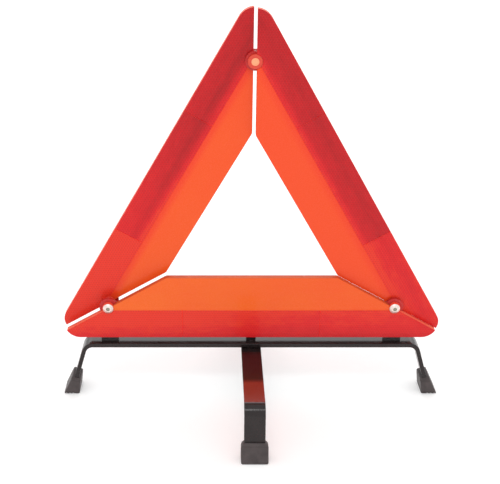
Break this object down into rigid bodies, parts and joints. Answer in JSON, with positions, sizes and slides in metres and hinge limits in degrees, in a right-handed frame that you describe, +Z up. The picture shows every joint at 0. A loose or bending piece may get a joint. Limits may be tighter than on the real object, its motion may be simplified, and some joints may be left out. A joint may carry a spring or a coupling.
{
  "type": "warning triangle",
  "caption": "Folding road warning triangle: red reflector edges with orange inner panels, standing on crossed black steel strips with rubber boots.",
  "frame": {"origin": "on the ground under the middle of the stand", "axes": "+X to the viewer's right along the bar, +Y from the front to the back, +Z up"},
  "size_m": [0.4438, 0.3088, 0.4515],
  "materials": {
    "lens": "smooth red reflector lens with cube-corner cells behind it",
    "cover": "moulded red, fine grain",
    "panel": "smooth fluorescent orange",
    "snap_socket": "smooth",
    "snap_stud": "smooth, milky",
    "rivet": "satin, formed",
    "spacer": "moulded",
    "tail_washer": "zinc plated",
    "shim": "smooth nylon",
    "post": "black powder coat",
    "screw": "zinc plated",
    "support": "moulded black",
    "strip": "gloss black paint",
    "friction_washer": "smooth nylon",
    "boot": "matt, fine grain"
  },
  "bodies": {
    "base": {"bar_lens": "lens", "bar_cover": "cover", "bar_panel": "panel", "left_pivot_rivet": "rivet", "left_pivot_spacer": "spacer", "left_pivot_washer": "tail_washer", "right_pivot_rivet": "rivet", "right_pivot_shim": "shim", "right_pivot_washer": "tail_washer", "centre_post": "post", "post_screws": "screw", "left_support": "support", "right_support": "support", "support_screws": "screw", "lateral_strip": "strip", "friction_washer": "friction_washer", "lower_washer": "tail_washer", "left_boot": "boot", "right_boot": "boot"},
    "left_arm": {"left_lens": "lens", "left_cover": "cover", "left_panel": "panel", "left_snap_socket": "snap_socket"},
    "right_arm": {"right_lens": "lens", "right_cover": "cover", "right_panel": "panel", "right_snap_stud": "snap_stud"},
    "cross_leg": {"cross_strip": "strip", "front_boot": "boot", "rear_boot": "boot"}
  },
  "joints": [
    {"name": "left_arm_fold", "type": "hinge", "parent": "base", "child": "left_arm", "pos_m": [-0.16603, 0.0172, 0.1084], "axis": [0, 1, 0], "range_deg": [0, 56]},
    {"name": "right_arm_fold", "type": "hinge", "parent": "base", "child": "right_arm", "pos_m": [0.16603, 0.0086, 0.1084], "axis": [0, -1, 0], "range_deg": [0, 56]},
    {"name": "cross_leg_swivel", "type": "hinge", "parent": "base", "child": "cross_leg", "pos_m": [0, 0, 0.06], "axis": [0, 0, 1], "range_deg": [0, 90]}
  ]
}
